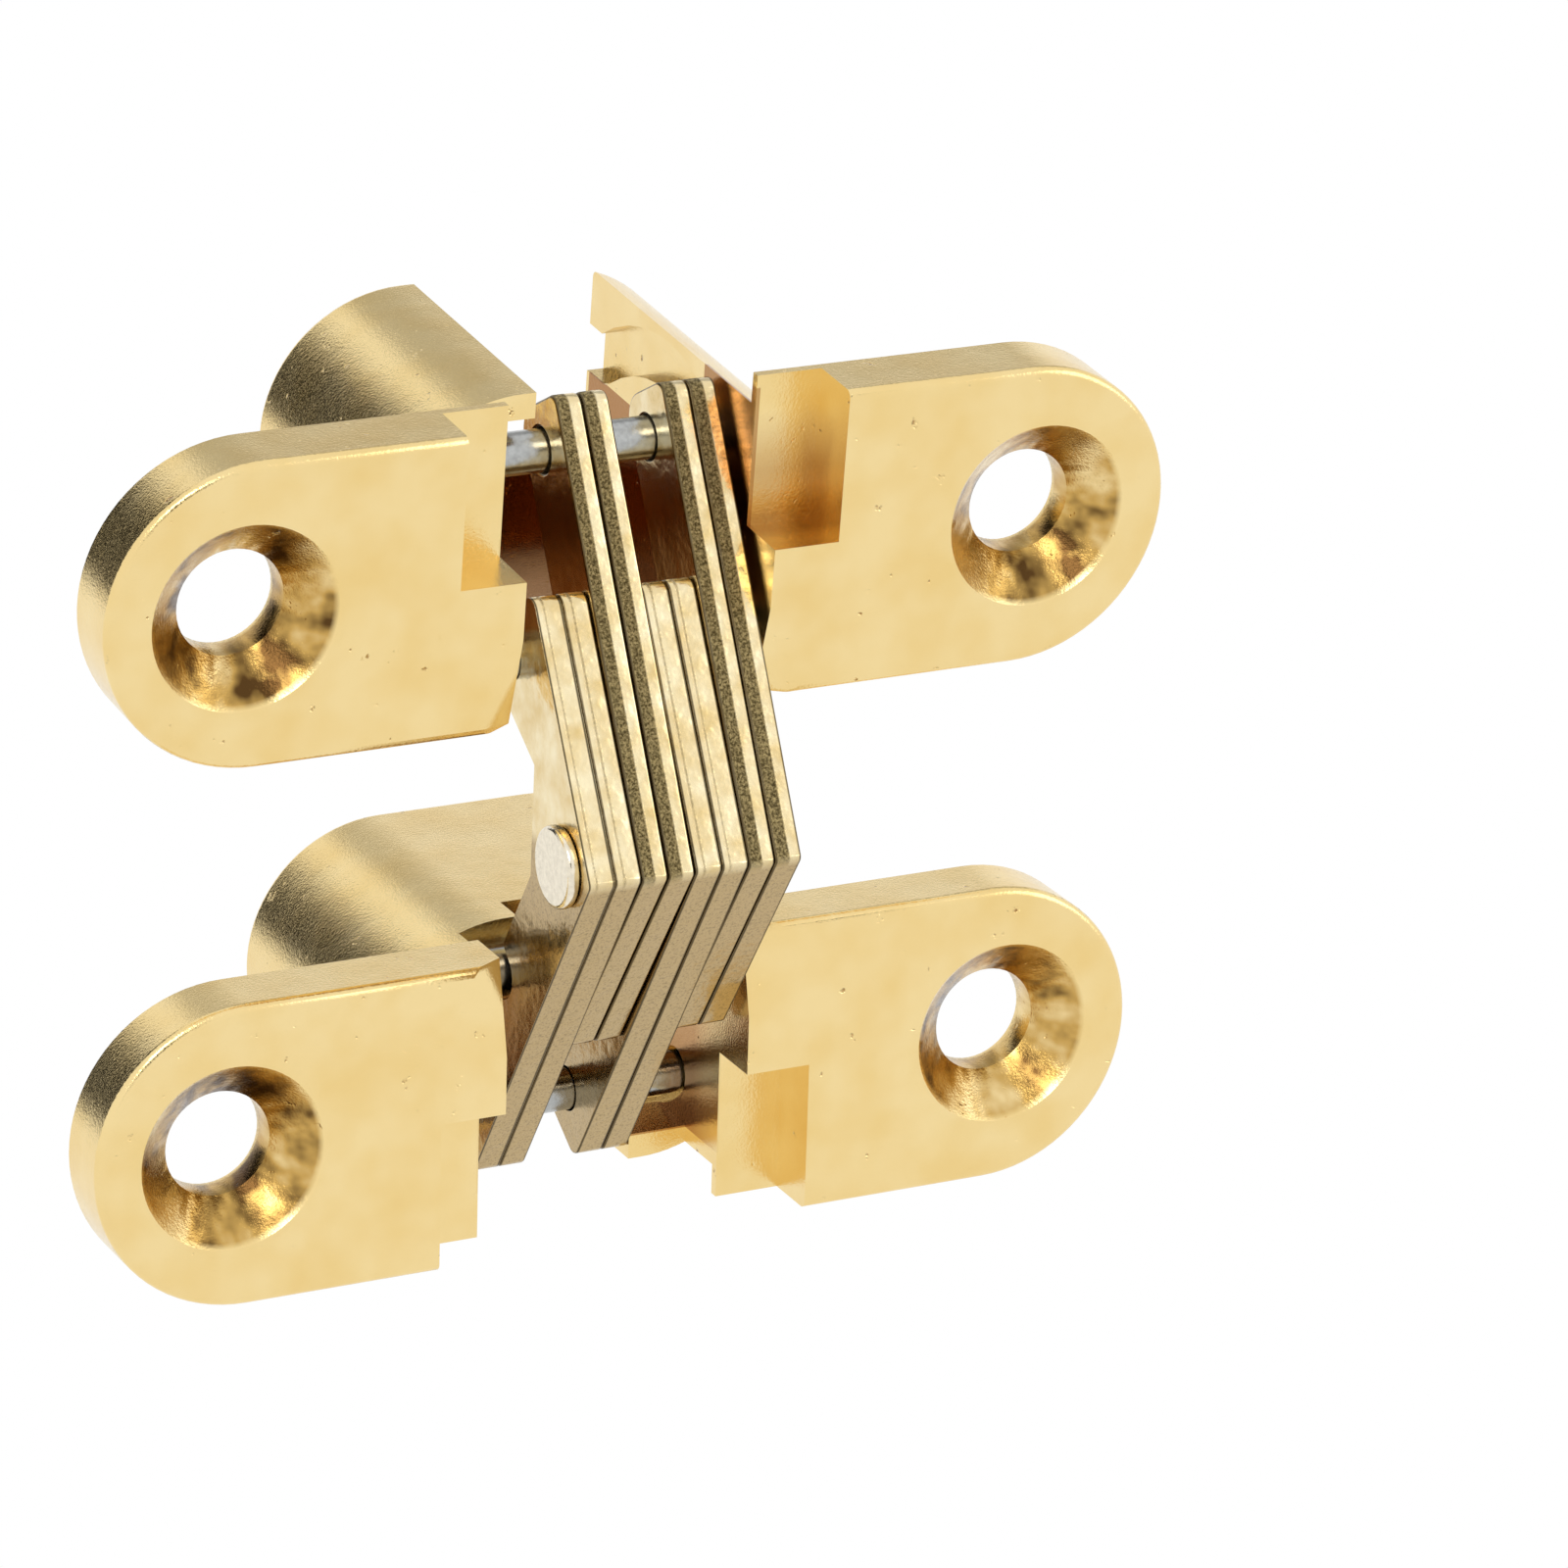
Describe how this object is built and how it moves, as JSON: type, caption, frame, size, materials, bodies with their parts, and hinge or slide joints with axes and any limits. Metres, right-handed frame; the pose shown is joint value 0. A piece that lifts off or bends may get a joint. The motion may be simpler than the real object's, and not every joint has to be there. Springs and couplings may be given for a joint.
{
  "type": "concealed invisible door hinge",
  "caption": "Concealed hinge for mortised doors: two cast leaves with deep cups, joined by crossed link plates on a centre rivet so it folds shut out of sight.",
  "frame": {"origin": "back of the upper leaf's face plate, midway between its two screw holes", "axes": "+X along the leaves, +Y into the wood behind the faces, +Z from the rivet to the upper leaf's outer edge"},
  "size_m": [0.0464, 0.0228, 0.0367],
  "materials": {
    "cast_gold": "bright gold-plated die casting, lightly grained",
    "link_gold": "gold-plated stamped plate, edges dull and grained",
    "rivet_gold": "polished pale gold",
    "pin_steel": "plain bright steel"
  },
  "bodies": {
    "upper_leaf_body": {"upper_leaf": "cast_gold", "upper_pivot_pin": "pin_steel"},
    "upper_links": {"link_plate_1": "link_gold", "link_plate_2": "link_gold", "link_plate_5": "link_gold", "link_plate_6": "link_gold", "centre_rivet": "rivet_gold", "lower_sliding_pin": "pin_steel"},
    "lower_links": {"link_plate_3": "link_gold", "link_plate_4": "link_gold", "link_plate_7": "link_gold", "link_plate_8": "link_gold", "upper_sliding_pin": "pin_steel"},
    "lower_leaf_body": {"lower_leaf": "cast_gold", "lower_pivot_pin": "pin_steel"}
  },
  "joints": [
    {"name": "upper_pivot", "type": "hinge", "parent": "upper_leaf_body", "child": "upper_links", "pos_m": [0, 0.0005, -0.0049], "axis": [-1, 0, 0], "range_deg": [-3.38, 113.63]},
    {"name": "centre_pivot", "type": "hinge", "parent": "upper_links", "child": "lower_links", "pos_m": [0, -0.0054, -0.01146], "axis": [-1, 0, 0], "range_deg": [-52.46, 1.57]},
    {"name": "lower_pivot", "type": "hinge", "parent": "lower_links", "child": "lower_leaf_body", "pos_m": [0, -0.00012, -0.01853], "axis": [-1, 0, 0], "range_deg": [-3.39, 113.64]}
  ],
  "couplings": [
    {"joint": "centre_pivot", "follows": "upper_pivot", "ratio": -0.46163},
    {"joint": "lower_pivot", "follows": "upper_pivot", "ratio": 1}
  ]
}
